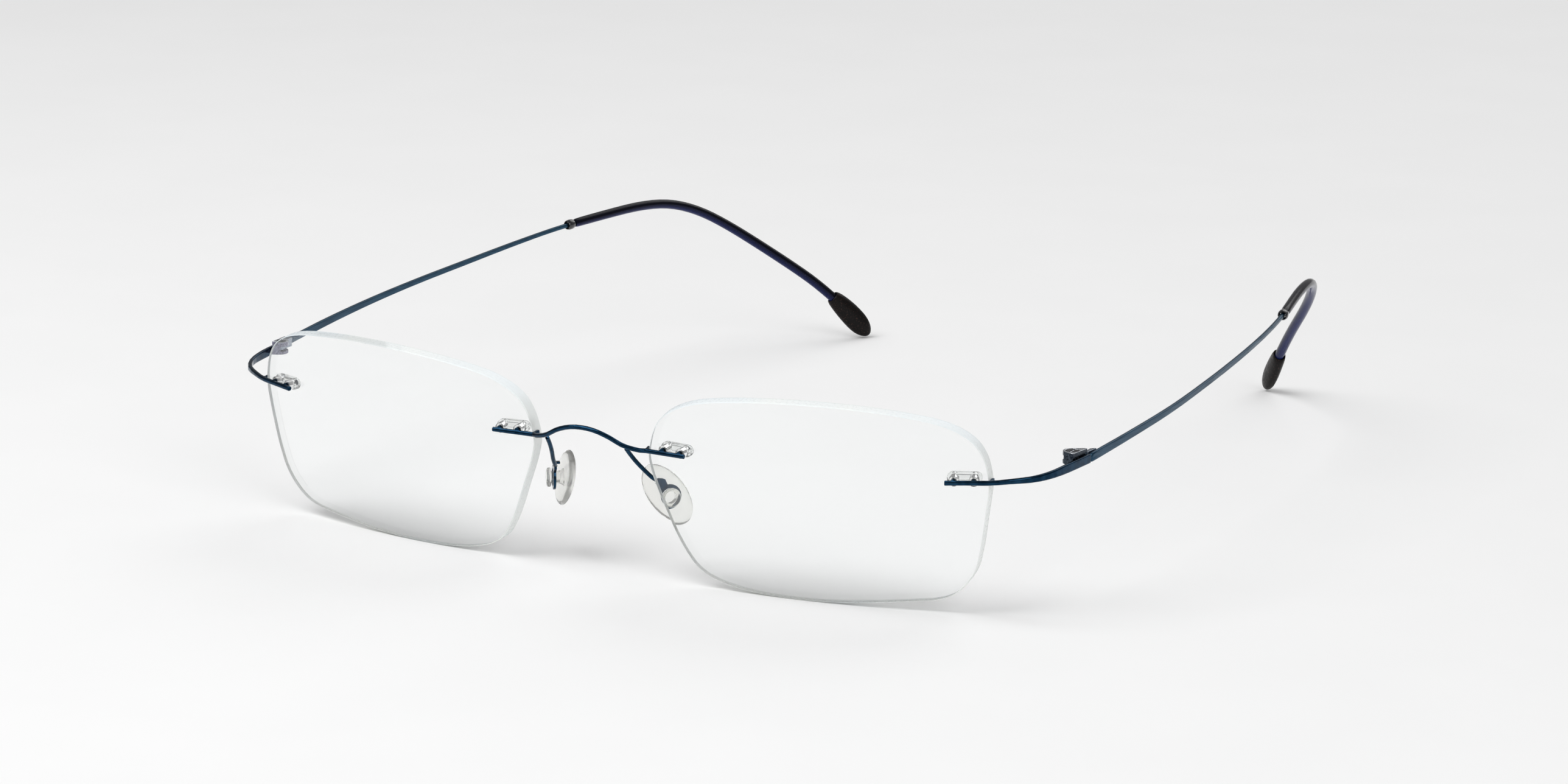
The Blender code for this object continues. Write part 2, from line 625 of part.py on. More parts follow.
def make_hinge_leaf(side, look, parts, helpers):
    """The temple's half of the hinge: a knuckle in the fork, and a plate along the temple."""
    name = f"hinge_leaf_{SIDE_NAMES[side]}"
    frame = hinge_frame(side)
    low, high = FORK_BOTTOM + KNUCKLE_GAP, FORK_TOP - KNUCKLE_GAP
    front_edge, back_edge = (table(STRIP_FACES, y) for y in (LEAF_START, LEAF_END))
    inner_edge = side * (front_edge - LEAF_THICKNESS)
    leaf = cylinder(name, KNUCKLE_RADIUS, low, high, frame, parts, look)
    arm_end = LEAF_START + LEAF_THICKNESS / 2
    arm_outline = circle_points(KNUCKLE_RADIUS / 2)
    arm_outline += [(inner_edge, arm_end), (side * (front_edge - KNUCKLE_GAP), arm_end)]
    arm = prism(f"{name}_arm", arm_outline, low, high, frame, helpers)
    plate_outline = [
        (inner_edge, LEAF_START), (side * front_edge, LEAF_START), (side * back_edge, LEAF_END),
        (side * (back_edge - LEAF_THICKNESS / 2), LEAF_END), (inner_edge, LEAF_END - LEAF_THICKNESS),
    ]
    plate = prism(f"{name}_plate", plate_outline, LEAF_BOTTOM, LEAF_TOP, frame, helpers)
    hole_radius = SCREW_RADIUS + SCREW_CLEARANCE
    hole = cylinder(f"{name}_hole", hole_radius, low - CUT_REACH, high + CUT_REACH, frame, helpers)
    combine(leaf, [arm, plate])
    combine(leaf, [hole], "DIFFERENCE")


def make_temple(side, looks, parts):
    fine = smooth_open(TEMPLE_PATH)
    pivot = hinge_frame(side)
    name = SIDE_NAMES[side]

    def rings(distances, height, width, corner):
        stations = [(d, height(d), width(d), corner(d)) for d in distances]
        return path_rings(side, fine, stations)

    strip = rings(
        steps_between(0, CORE_END),
        lambda d: table(TEMPLE_HEIGHTS, d), lambda d: table(TEMPLE_WIDTHS, d),
        lambda d: table(ROUNDING, d),
    )
    temple = skin(f"temple_{name}", strip, looks["metal"], parts)

    def tube(node, start, end, outer, bore, look):
        distances = steps_between(start, end)
        outside = rings(distances, outer, outer, lambda d: 1.0)
        inside = rings(distances, lambda d: bore, lambda d: bore, lambda d: 1.0)
        return skin(f"{node}_{name}", outside + inside[::-1], look, parts, closed=True)

    collar_end = SLEEVE_START - COLLAR_GAP
    collar = tube(
        "temple_collar", COLLAR_START, collar_end, lambda d: COLLAR_SIZE, SLEEVE_BORE, looks["tip"],
    )
    sleeve = tube(
        "temple_sleeve", SLEEVE_START, SLEEVE_END, lambda d: table(SLEEVE_SIZES, d), SLEEVE_BORE,
        looks["sleeve"],
    )
    bore = rings(
        (TIP_START + TIP_BORE_DEPTH, TIP_START), lambda d: TIP_BORE, lambda d: TIP_BORE, lambda d: 1.0
    )
    stations = [(TIP_START + along, height, width, 1.0) for along, height, width in TIP_SIZES]
    tip = skin(f"temple_tip_{name}", bore + path_rings(side, fine, stations), looks["tip"], parts)
    for piece in (temple, collar, sleeve, tip):
        own_origin(piece, pivot)


def main():
    clear_scene()
    parts = new_collection("rimless_eyeglasses")
    helpers = new_collection("cutters", helper=True)
    looks = {
        "metal": material("blue_metal", METAL_BLUE),
        "hinge": material("hinge_metal", METAL_HINGE),
        "screw": material("screw_metal", METAL_SCREW),
        "lens": material("clear_lens", CLEAR_LENS),
        "pad": material("clear_pad", CLEAR_PAD),
        "sleeve": material("sleeve_blue", SLEEVE_BLUE),
        "tip": material("tip_dark", TIP_DARK),
    }
    make_bridge(looks["metal"], parts, helpers)
    for side in (LEFT, RIGHT):
        make_lens(side, looks["lens"], parts, helpers)
        make_bush(side, "nasal", NASAL_PINS, looks["pad"], parts, helpers)
        make_bush(side, "temporal", TEMPORAL_PINS, looks["pad"], parts, helpers)
        make_pad_arm(side, looks["metal"], parts, helpers)
        make_pad(side, looks["pad"], parts, helpers)
        make_end_piece(side, looks["metal"], parts, helpers)
        make_hinge_barrel(side, looks["hinge"], parts, helpers)
        make_hinge_screw(side, looks["screw"], parts, helpers)
        make_hinge_leaf(side, looks["hinge"], parts, helpers)
        make_temple(side, looks, parts)


main()
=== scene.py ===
"""Rimless eyeglasses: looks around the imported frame.

Lenses, pads and bushes are modelled again with their finer shape; wires, hinges and screws are
softened from the CAD nodes; temples, sleeves and tips are refined from them.
"""

import json
from math import cos, pi, radians, sin

import bmesh
import bpy
import numpy as np
from mathutils import Matrix, Vector

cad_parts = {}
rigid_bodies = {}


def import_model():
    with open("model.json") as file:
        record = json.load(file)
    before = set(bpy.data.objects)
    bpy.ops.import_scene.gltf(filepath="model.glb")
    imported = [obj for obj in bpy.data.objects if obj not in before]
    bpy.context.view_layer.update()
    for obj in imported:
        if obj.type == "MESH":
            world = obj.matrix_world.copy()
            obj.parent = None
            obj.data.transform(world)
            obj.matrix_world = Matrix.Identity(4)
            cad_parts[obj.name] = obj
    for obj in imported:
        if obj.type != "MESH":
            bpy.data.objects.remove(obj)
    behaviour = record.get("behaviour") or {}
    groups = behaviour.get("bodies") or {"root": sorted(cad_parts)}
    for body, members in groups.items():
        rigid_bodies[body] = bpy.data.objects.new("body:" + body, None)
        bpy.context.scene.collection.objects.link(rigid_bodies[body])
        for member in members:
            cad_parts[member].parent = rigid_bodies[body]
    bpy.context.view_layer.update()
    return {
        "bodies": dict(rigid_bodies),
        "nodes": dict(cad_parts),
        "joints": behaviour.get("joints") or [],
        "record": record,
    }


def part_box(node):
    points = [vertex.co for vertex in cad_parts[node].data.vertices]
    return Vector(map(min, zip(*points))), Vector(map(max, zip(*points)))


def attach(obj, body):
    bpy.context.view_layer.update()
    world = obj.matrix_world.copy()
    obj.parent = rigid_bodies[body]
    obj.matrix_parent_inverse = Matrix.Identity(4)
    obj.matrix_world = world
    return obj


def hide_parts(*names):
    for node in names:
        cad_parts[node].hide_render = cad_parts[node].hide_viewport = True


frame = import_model()

MM = 0.001
SIDES = {"left": 1, "right": -1}
NODES = frame["nodes"]
JOINTS = {joint["name"]: joint for joint in frame["joints"]}

# Camera: place in metres, angles in degrees, focal length in millimetres on a 36 mm sensor.
CAMERA_PLACE = (0.39952, -0.75939, 0.21757)
CAMERA_AZIMUTH = 28.3
CAMERA_ELEVATION = 13.56
CAMERA_ROLL = 0.68
CAMERA_FOCAL = 139.75

# Lens build, in millimetres and degrees.
LENS_WRAP = radians(8.4)
LENS_TILT = radians(8.4)
LENS_CURVE_RADIUS = 94
LENS_POINTS = 256
LENS_RINGS = (0.12, 0.28, 0.44, 0.6, 0.75, 0.88, 0.96)
LENS_CHAMFER = 0.13
MOUNT_HEIGHT = 4.85
MOUNTS = {"nasal": (-19.1, -21.8), "temporal": (19.35, 22.0)}
LENS_HOLE_RADIUS = 0.7
# How far the drill runs in front of the lens, and past its back.
HOLE_FRONT = -1
HOLE_PAST = 1.2
# Heights between which the right lens's outer edge is painted dark, a painted reflection of dark
# surroundings.
PAINTED_REFLECTION_HEIGHTS = (-11, 3)
# How near the lens axis its back is measured for its thickness.
AXIS_REACH = 0.05
# Hull corners flatter than this are dropped, and the outline between hull points gets this step.
HULL_FLATNESS = 1e-4
OUTLINE_STEP = 0.1

# Bushes behind the lens, in millimetres.
BUSH_GAP = 0.04
BUSH_RADIUS = 0.8
BUSH_REACH = 0.22
BUSH_SLEEVE_RADIUS = 0.65
BUSH_SLEEVE_START = 0.08
BUSH_SLEEVE_OVERLAP = 0.3
BORE_RADIUS = 0.41
BORE_ENDS = (-1, 4)
# Height above the lens and inset of the cap's outline.
BUSH_SECTION = (
    (0.0, 0.08), (0.03, 0.02), (0.1, 0.0), (0.62, 0.0), (0.76, 0.03),
    (0.85, 0.1), (0.9, 0.22), (0.9, 0.42), (0.8, 0.5),
)

# Nose pad section: share of the half width, and height above the pad's middle plane.
PAD_SECTION = (
    (0.0, 0.54), (0.3, 0.52), (0.58, 0.46), (0.8, 0.34), (0.93, 0.19), (1.0, 0.0),
    (0.965, -0.15), (0.87, -0.24), (0.6, -0.29), (0.3, -0.31), (0.0, -0.32),
)
PAD_HALF_WIDTH = 2.8
PAD_HALF_LENGTH = 4.9
# From the pad's joint to the middle of the pad.
PAD_OFFSET = (-1.18, 1.05, -0.12)
PAD_TURN = (radians(-0.6), radians(-36.9), radians(38.5))
# Boss of the pad: distance out from the eyelet's middle, and radius.
BOSS_SECTION = (
    (-1.35, 0.0), (-1.35, 1.25), (-1.0, 1.0), (-0.6, 0.86), (0.42, 0.84), (0.45, 1.18), (0.52, 1.3),
    (0.68, 1.34), (0.88, 1.3), (1.0, 1.12), (1.05, 0.85), (1.0, 0.62), (0.98, 0.0),
)
EYELET_TURN = radians(54)

# Painted highlight on the hinge barrel's top rim: depth in millimetres below its top, and how far up a face
# must look.
TOP_HIGHLIGHT_DEPTH = 0.12
TOP_HIGHLIGHT_UPWARDS = 0.35
# Floor of the screw's slot: depths in millimetres below the head's top, reach, and how level it is.
SLOT_DEPTHS = (0.07, 0.3)
SLOT_REACH = 0.85
SLOT_LEVEL = 0.5

# Points nearer than this, in metres, are one.
WELD_DISTANCE = 1e-6
# Softbox names with place in metres, size in metres and power in watts.
LIGHTS = (
    ("key", (-0.35, -0.45, 0.85), 0.8, 6.4),
    ("fill", (0.7, -0.5, 0.6), 0.6, 2.4),
    ("back", (0.1, 0.8, 0.7), 0.9, 2.4),
)
SKY_STRENGTH = 0.28
FLOOR_HALF_SIZE = 4
SENSOR_WIDTH = 36
CLIP = (0.01, 20)

# Metal pieces softened on each side: node, name, look, slot, body and voxel size in millimetres.
# {side} stands for the side's name.
SOFTENED = (
    ("pad_arm", "pad_arm", "wire", "blue_metal", "front", 0.04),
    ("end_piece", "end_piece", "wire", "blue_metal", "front", 0.05),
    ("hinge_barrel", "barrel", "hinge_{side}", "hinge_metal", "front", 0.04),
    ("hinge_leaf", "leaf", "leaf", "hinge_metal", "temple_{side}", 0.035),
)
BRIDGE_VOXEL = 0.05
SCREW_VOXEL = 0.035
# Temple pieces refined on each side: node, name, look and slot.
REFINED = (
    ("temple", "temple_strip", "strip", "temple_metal"),
    ("temple_collar", "collar", "collar", "dark_plastic"),
    ("temple_sleeve", "sleeve", "sleeve", "smoky_sleeve"),
    ("temple_tip", "tip", "tip", "dark_plastic"),
)


class Look:
    """A Principled material with helpers for noise in its colour, roughness and bump."""

    def __init__(self, name, colour, roughness, metallic=0.0):
        self.material = bpy.data.materials.new(f"look_{name}")
        self.material.use_nodes = True
        self.tree = self.material.node_tree
        self.shader = self.tree.nodes["Principled BSDF"]
        self.shader.inputs["Base Color"].default_value = (*colour, 1)
        self.shader.inputs["Roughness"].default_value = roughness
        self.shader.inputs["Metallic"].default_value = metallic
        self.material.diffuse_color = (*colour, 1)
        self.coords = self.tree.nodes.new("ShaderNodeTexCoord")

    def set(self, **values):
        for name, value in values.items():
            self.shader.inputs[name.replace("_", " ")].default_value = value
        return self

    def noise(self, scale, detail=3.0, stretch=(1, 1, 1)):
        """Noise over the object, scale per metre; stretch under 1 draws it out along an axis."""
        mapping = self.tree.nodes.new("ShaderNodeMapping")
        mapping.inputs["Scale"].default_value = stretch
        texture = self.tree.nodes.new("ShaderNodeTexNoise")
        texture.inputs["Scale"].default_value = scale
        texture.inputs["Detail"].default_value = detail
        self.tree.links.new(self.coords.outputs["Object"], mapping.inputs["Vector"])
        self.tree.links.new(mapping.outputs["Vector"], texture.inputs["Vector"])
        return texture.outputs["Fac"]

    def ramp(self, source, low, high, start=0.35, end=0.65):
        """Colours or greys between low and high, over a stretch of the source."""
        made = self.tree.nodes.new("ShaderNodeValToRGB")
        first, last = made.color_ramp.elements
        first.position, last.position = start, end
        first.color = (*low, 1) if isinstance(low, tuple) else (low, low, low, 1)
        last.color = (*high, 1) if isinstance(high, tuple) else (high, high, high, 1)
        self.tree.links.new(source, made.inputs["Fac"])
        return made.outputs["Color"]

    def link(self, source, name):
        self.tree.links.new(source, self.shader.inputs[name])
        return self

    def bump(self, source, distance, strength=0.5):
        made = self.tree.nodes.new("ShaderNodeBump")
        made.inputs["Strength"].default_value = strength
        made.inputs["Distance"].default_value = distance
        self.tree.links.new(source, made.inputs["Height"])
        self.tree.links.new(made.outputs["Normal"], self.shader.inputs["Normal"])
        return self

    def upwards(self):
        """How far the surface faces up, from 0 to 1."""
        geometry = self.tree.nodes.new("ShaderNodeNewGeometry")
        split = self.tree.nodes.new("ShaderNodeSeparateXYZ")
        scaled = self.tree.nodes.new("ShaderNodeMapRange")
        scaled.inputs["From Min"].default_value = -1
        self.tree.links.new(geometry.outputs["Normal"], split.inputs["Vector"])
        self.tree.links.new(split.outputs["Z"], scaled.inputs["Value"])
        return scaled.outputs["Result"]


def make_metals(looks):
    wire = Look("blue_wire", (0.012, 0.03, 0.058), 0.16, 1.0)
    wire.link(wire.ramp(wire.noise(900), (0.006, 0.024, 0.05), (0.013, 0.046, 0.09)), "Base Color")
    wire.link(wire.ramp(wire.noise(2500), 0.1, 0.2), "Roughness")
    wire.bump(wire.noise(9000, 2.0), 0.00002, 0.25)
    looks["wire"] = wire.material

    strip = Look("blue_strip", (0.025, 0.07, 0.12), 0.3, 0.9)
    streaks = strip.noise(5000, 4.0, (1, 0.04, 1))
    strip.link(strip.ramp(streaks, (0.016, 0.05, 0.09), (0.032, 0.085, 0.14)), "Base Color")
    strip.link(strip.ramp(strip.noise(1800, 3.0, (1, 0.1, 1)), 0.24, 0.38), "Roughness")
    strip.bump(streaks, 0.00001, 0.3)
    looks["strip"] = strip.material

    # Painted shade and light: both hinge barrels are one metal, but the left copy is painted darker as
    # painted shade and the right copy lighter as painted light.
    for name, low, high in (
        ("left", (0.018, 0.024, 0.036), (0.06, 0.075, 0.095)),
        ("right", (0.16, 0.16, 0.22), (0.3, 0.3, 0.38)),
    ):
        hinge_painted_shading = Look(f"hinge_{name}", high, 0.3, 1.0)
        hinge_painted_shading.link(hinge_painted_shading.ramp(hinge_painted_shading.noise(3500), low, high), "Base Color")
        hinge_painted_shading.link(hinge_painted_shading.ramp(hinge_painted_shading.noise(6000, 4.0), 0.2, 0.36), "Roughness")
        hinge_painted_shading.bump(hinge_painted_shading.noise(12000), 0.00001, 0.3)
        looks[f"hinge_{name}"] = hinge_painted_shading.material

    leaf = Look("hinge_leaf", (0.3, 0.34, 0.4), 0.25, 1.0)
    leaf.link(leaf.ramp(leaf.noise(4000), (0.22, 0.26, 0.32), (0.4, 0.44, 0.5)), "Base Color")
    leaf.bump(leaf.noise(12000), 0.00001, 0.3)
    looks["leaf"] = leaf.material

    screw = Look("screw_black", (0.01, 0.011, 0.015), 0.22, 0.5)
    screw.link(screw.ramp(screw.noise(6000), (0.006, 0.007, 0.01), (0.022, 0.024, 0.032)), "Base Color")
    screw.bump(screw.noise(15000), 0.00001, 0.25)
    looks["screw"] = screw.material

    # Bare silver on the screw slot's floor, also used as the painted highlight on the hinge barrels' tops.
    slot = Look("screw_slot_and_barrel_highlight", (0.6, 0.63, 0.68), 0.25, 1.0)
    slot.link(slot.ramp(slot.noise(9000), (0.5, 0.53, 0.58), (0.8, 0.82, 0.85)), "Base Color")
    looks["slot"] = slot.material


def make_clears(looks):
    face = Look("lens_clear", (0.99, 1.0, 0.998), 0.0)
    face.set(IOR=1.5, Transmission_Weight=1.0)
    face.link(face.ramp(face.noise(120, 5.0), 0.0, 0.02), "Roughness")
    looks["lens"] = face.material

    # The second edge look is a painted reflection: the same clear edge, painted dark.
    for name, alpha, low, high in (
        ("edge", 0.82, (0.84, 0.9, 0.93), (0.93, 0.95, 0.92)),
        ("edge_painted_reflection", 0.75, (0.1, 0.12, 0.14), (0.2, 0.22, 0.23)),
    ):
        edge = Look(f"lens_{name}", high, 0.3)
        edge.set(IOR=1.2, Alpha=alpha)
        edge.link(edge.ramp(edge.noise(60, 2.0), low, high), "Base Color")
        edge.link(edge.ramp(edge.noise(2500), 0.22, 0.4), "Roughness")
        edge.bump(edge.noise(7000, 2.0, (1, 1, 0.2)), 0.00001, 0.2)
        looks[name] = edge.material

    for name, colour, transmission in (
        ("pad", (0.98, 0.98, 0.95), 0.9),
        ("bush", (0.98, 0.99, 0.98), 0.93),
    ):
        clear = Look(f"clear_{name}", colour, 0.12)
        clear.set(IOR=1.33, Transmission_Weight=transmission)
        warm = tuple(0.97 * part for part in colour)
        clear.link(clear.ramp(clear.noise(900), warm, colour), "Base Color")
        clear.link(clear.ramp(clear.noise(2500), 0.05, 0.16), "Roughness")
        clear.bump(clear.noise(3000, 2.0), 0.00003, 0.2)
        looks[name] = clear.material


def make_plastics(looks):
    sleeve = Look("smoky_sleeve", (0.012, 0.015, 0.045), 0.14)
    sleeve.set(IOR=1.4, Alpha=0.95, Specular_IOR_Level=0.2)
    # Painted light and shade: faces turned down are painted blue and faces turned up near black.
    painted_underside_light = sleeve.ramp(sleeve.upwards(), (0.014, 0.021, 0.1), (0.002, 0.0022, 0.007), 0.1, 0.6)
    sleeve.link(painted_underside_light, "Base Color")
    sleeve.link(sleeve.ramp(sleeve.noise(3000), 0.1, 0.2), "Roughness")
    sleeve.bump(sleeve.noise(1500), 0.00002, 0.15)
    looks["sleeve"] = sleeve.material

    tip = Look("tip_dark", (0.01, 0.006, 0.006), 0.35)
    tip.set(Specular_IOR_Level=0.16)
    flecks = tip.ramp(tip.noise(4500, 4.0), (0.003, 0.002, 0.002), (0.07, 0.035, 0.028), 0.58, 0.78)
    tip.link(flecks, "Base Color")
    tip.link(tip.ramp(tip.noise(3000), 0.28, 0.48), "Roughness")
    tip.bump(tip.noise(5000, 3.0), 0.00003, 0.3)
    looks["tip"] = tip.material

    collar = Look("collar_black", (0.006, 0.006, 0.008), 0.15)
    collar.set(Coat_Weight=0.8, Coat_Roughness=0.05)
    collar.link(collar.ramp(collar.noise(5000), (0.004, 0.004, 0.006), (0.012, 0.012, 0.015)), "Base Color")
    looks["collar"] = collar.material


def make_looks():
    looks = {}
    make_metals(looks)
    make_clears(looks)
    make_plastics(looks)
    return looks


looks = make_looks()


def add(name, mesh, materials, matrix=None):
    made = bpy.data.objects.new(name, mesh)
    if matrix is not None:
        made.matrix_world = matrix
    for look in materials:
        mesh.materials.append(looks[look])
    bpy.context.scene.collection.objects.link(made)
    return made


def to_mesh(name, shape, angle=40):
    bmesh.ops.recalc_face_normals(shape, faces=shape.faces)
    mesh = bpy.data.meshes.new(name)
    shape.to_mesh(mesh)
    shape.free()
    mesh.shade_smooth()
    mesh.set_sharp_from_angle(angle=radians(angle))
    return mesh


def settle(piece, angle=40):
    """Applies a piece's modifiers to its mesh, in place."""
    graph = bpy.context.evaluated_depsgraph_get()
    graph.update()
    mesh = bpy.data.meshes.new_from_object(piece.evaluated_get(graph))
    old = piece.data
    piece.modifiers.clear()
    piece.data = mesh
    bpy.data.meshes.remove(old)
    mesh.shade_smooth()
    mesh.set_sharp_from_angle(angle=radians(angle))
    return piece


def stands_for(piece, node, body):
    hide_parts(node)
    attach(piece, body)


def copy_of(node, name, materials):
    """A new object with a welded copy of a CAD node's mesh."""
    shape = bmesh.new()
    shape.from_mesh(NODES[node].data)
    bmesh.ops.remove_doubles(shape, verts=shape.verts, dist=WELD_DISTANCE)
    mesh = to_mesh(name, shape)
    mesh.materials.clear()
    return add(name, mesh, materials)


def softened(node, name, materials, voxel, passes=6, keep=0.35):
    """A CAD node with its edges and joins rounded, as brazed and tumbled metal has."""
    piece = copy_of(node, name, materials)
    remesh = piece.modifiers.new("remesh", "REMESH")
    remesh.mode = "VOXEL"
    remesh.voxel_size = voxel * MM
    smooth = piece.modifiers.new("smooth", "SMOOTH")
    smooth.factor = 0.5
    smooth.iterations = passes
    thin = piece.modifiers.new("thin", "DECIMATE")
    thin.ratio = keep
    return settle(piece, 60)


def refined(node, name, materials):
    """A CAD node of swept rings with its faces paired into quads and subdivided once."""
    piece = copy_of(node, name, materials)
    shape = bmesh.new()
    shape.from_mesh(piece.data)
    bmesh.ops.join_triangles(
        shape, faces=shape.faces, angle_face_threshold=radians(40), angle_shape_threshold=radians(60),
    )
    shape.to_mesh(piece.data)
    shape.free()
    finer = piece.modifiers.new("finer", "SUBSURF")
    finer.levels = finer.render_levels = 1
    return settle(piece, 50)


def catmull(a, b, c, d, t):
    return 0.5 * (2 * b + (c - a) * t + (2 * a - 5 * b + 4 * c - d) * t**2 + (3 * b - a - 3 * c + d) * t**3)


class Lens:
    """A lens read from its CAD node: its frame, thickness and outline, all in millimetres."""

    def __init__(self, side_name):
        self.side = SIDES[side_name]
        turn = Matrix.Rotation(self.side * LENS_WRAP, 4, "Z") @ Matrix.Rotation(LENS_TILT, 4, "X")
        world = np.array([vertex.co for vertex in NODES[f"lens_{side_name}"].data.vertices])
        local = world @ np.array(turn.to_3x3())
        apex = local[:, 1].argmin()
        self.frame = Matrix.Translation(Vector(world[apex])) @ turn
        local = (local - local[apex]) / MM
        self.thickness = local[np.hypot(local[:, 0], local[:, 2]) < AXIS_REACH, 1].max()
        self.outline = self._smooth(self._hull(local[:, [0, 2]]))

    @staticmethod
    def _hull(points):
        """The points' convex outline, which leaves out the drilled holes' edges."""
        ordered = sorted({(round(u, 2), round(v, 2)) for u, v in points})
        outline = []
        for row in (ordered, ordered[::-1]):
            side = []
            for u, v in row:
                while len(side) > 1:
                    (a, b), (c, d) = side[-2:]
                    if (c - a) * (v - b) - (d - b) * (u - a) > HULL_FLATNESS:
                        break
                    side.pop()
                side.append((u, v))
            outline += side[:-1]
        return np.array(outline)

    @staticmethod
    def _smooth(rim):
        fine = []
        for i in range(len(rim)):
            a, b, c, d = (rim[(i + k) % len(rim)] for k in (-1, 0, 1, 2))
            fine += [catmull(a, b, c, d, t) for t in np.arange(0, 1, OUTLINE_STEP)]
        fine = np.array(fine + [fine[0]])
        along = np.concatenate([[0], np.cumsum(np.hypot(*np.diff(fine, axis=0).T))])
        steps = np.linspace(0, along[-1], LENS_POINTS, endpoint=False)
        return np.stack([np.interp(steps, along, fine[:, k]) for k in (0, 1)], axis=1)

    def sag(self, across, up):
        return LENS_CURVE_RADIUS - (LENS_CURVE_RADIUS**2 - across**2 - up**2) ** 0.5

    def inset(self, distance):
        ahead = np.roll(self.outline, -1, axis=0) - np.roll(self.outline, 1, axis=0)
        normal = np.stack([-ahead[:, 1], ahead[:, 0]], axis=1)
        normal /= np.linalg.norm(normal, axis=1)[:, None]
        inwards = np.sign((normal * -self.outline).sum(axis=1))[:, None]
        return self.outline + normal * inwards * distance

    def mount_frame(self, pins):
        """+Z runs back through the lens between a mount's two pins, +X along them."""
        middle = self.side * sum(pins) / 2
        sag = self.sag(middle, MOUNT_HEIGHT)
        inwards = Vector((-middle, LENS_CURVE_RADIUS - sag, -MOUNT_HEIGHT)).normalized()
        along = (Vector((1, 0, 0)) - inwards * inwards.x).normalized()
        turn = Matrix((along, inwards.cross(along), inwards)).transposed().to_4x4()
        return self.frame @ Matrix.Translation(Vector((middle, sag, MOUNT_HEIGHT)) * MM) @ turn

    def pin_frames(self, pins):
        half = abs(pins[0] - pins[1]) / 2
        frame = self.mount_frame(pins)
        return [frame @ Matrix.Translation((offset * MM, 0, 0)) for offset in (-half, half)]


def lathe(name, section, steps=40):
    """A turned solid about local Z from (height, radius) points in millimetres, in the order given."""
    shape = bmesh.new()
    rings = []
    for height, radius in section:
        if radius == 0:
            rings.append([shape.verts.new((0, 0, height * MM))] * steps)
            continue
        angles = [2 * pi * i / steps for i in range(steps)]
        rings.append(
            [shape.verts.new(Vector((radius * cos(a), radius * sin(a), height)) * MM) for a in angles]
        )
    for first, second in zip(rings, rings[1:]):
        for i in range(steps):
            j = (i + 1) % steps
            corners = []
            for vertex in (first[i], first[j], second[j], second[i]):
                if vertex not in corners:
                    corners.append(vertex)
            if len(corners) > 2:
                shape.faces.new(corners)
    return to_mesh(name, shape)


def helper(name, mesh, matrix):
    """An object that only takes part in a Boolean."""
    return add(name, mesh, [], matrix)


def combine(piece, others, operation, angle=40):
    for other in others:
        made = piece.modifiers.new(other.name, "BOOLEAN")
        made.operation = operation
        made.solver = "EXACT"
        made.object = other
    settle(piece, angle)
    for other in others:
        bpy.data.objects.remove(other)
    return piece


def cylinder(name, radius, start, end, matrix, steps=40):
    section = ((start, 0), (start, radius), (end, radius), (end, 0))
    return helper(name, lathe(name, section, steps), matrix)


def make_lens(side_name):
    lens = Lens(side_name)
    shape = bmesh.new()
    chamfer = lens.inset(LENS_CHAMFER)

    def loop(points, deeper):
        return [
            shape.verts.new(Vector((u, lens.sag(u, v) + deeper, v)) * MM) for u, v in points
        ]

    fronts = [loop(chamfer * share, 0) for share in LENS_RINGS] + [loop(chamfer, 0)]
    backs = [loop(chamfer * share, lens.thickness) for share in LENS_RINGS]
    backs.append(loop(chamfer, lens.thickness))
    rim = [
        fronts[-1],
        loop(lens.outline, LENS_CHAMFER),
        loop(lens.outline, lens.thickness - LENS_CHAMFER),
        backs[-1],
    ]
    middles = [shape.verts.new((0, deeper * MM, 0)) for deeper in (0, lens.thickness)]
    count = len(chamfer)
    for middle, loops in zip(middles, (fronts, backs)):
        for i in range(count):
            j = (i + 1) % count
            shape.faces.new((middle, loops[0][i], loops[0][j]))
            for inner, outer in zip(loops, loops[1:]):
                shape.faces.new((inner[i], outer[i], outer[j], inner[j]))
    dark = side_name == "right"
    for near, far in zip(rim, rim[1:]):
        for i in range(count):
            j = (i + 1) % count
            made = shape.faces.new((near[i], near[j], far[j], far[i]))
            u, v = lens.outline[i]
            # Painted reflection: part of the right lens's outer front chamfer is painted dark.
            takes_painted_reflection = dark and near is rim[0] and u * lens.side > 0 and PAINTED_REFLECTION_HEIGHTS[0] < v < PAINTED_REFLECTION_HEIGHTS[1]
            made.material_index = 2 if takes_painted_reflection else 1
    name = f"{side_name}_lens"
    piece = add(name, to_mesh(name, shape, 30), ["lens", "edge", "edge_painted_reflection"], lens.frame)
    holes = []
    for mount, pins in MOUNTS.items():
        for number, matrix in enumerate(lens.pin_frames(pins)):
            past = lens.thickness + HOLE_PAST
            holes.append(cylinder(f"{name}_{mount}_{number}", LENS_HOLE_RADIUS, HOLE_FRONT, past, matrix))
    combine(piece, holes, "DIFFERENCE", 30)
    stands_for(piece, f"lens_{side_name}", "front")
    return lens


def stadium(half_length, radius, steps=18):
    """Points round a shape with two half-round ends."""
    points = []
    for end in (1, -1):
        for i in range(steps + 1):
            angle = pi * (i / steps - 0.5) + (0 if end > 0 else pi)
            points.append((end * half_length + radius * cos(angle), radius * sin(angle)))
    return points


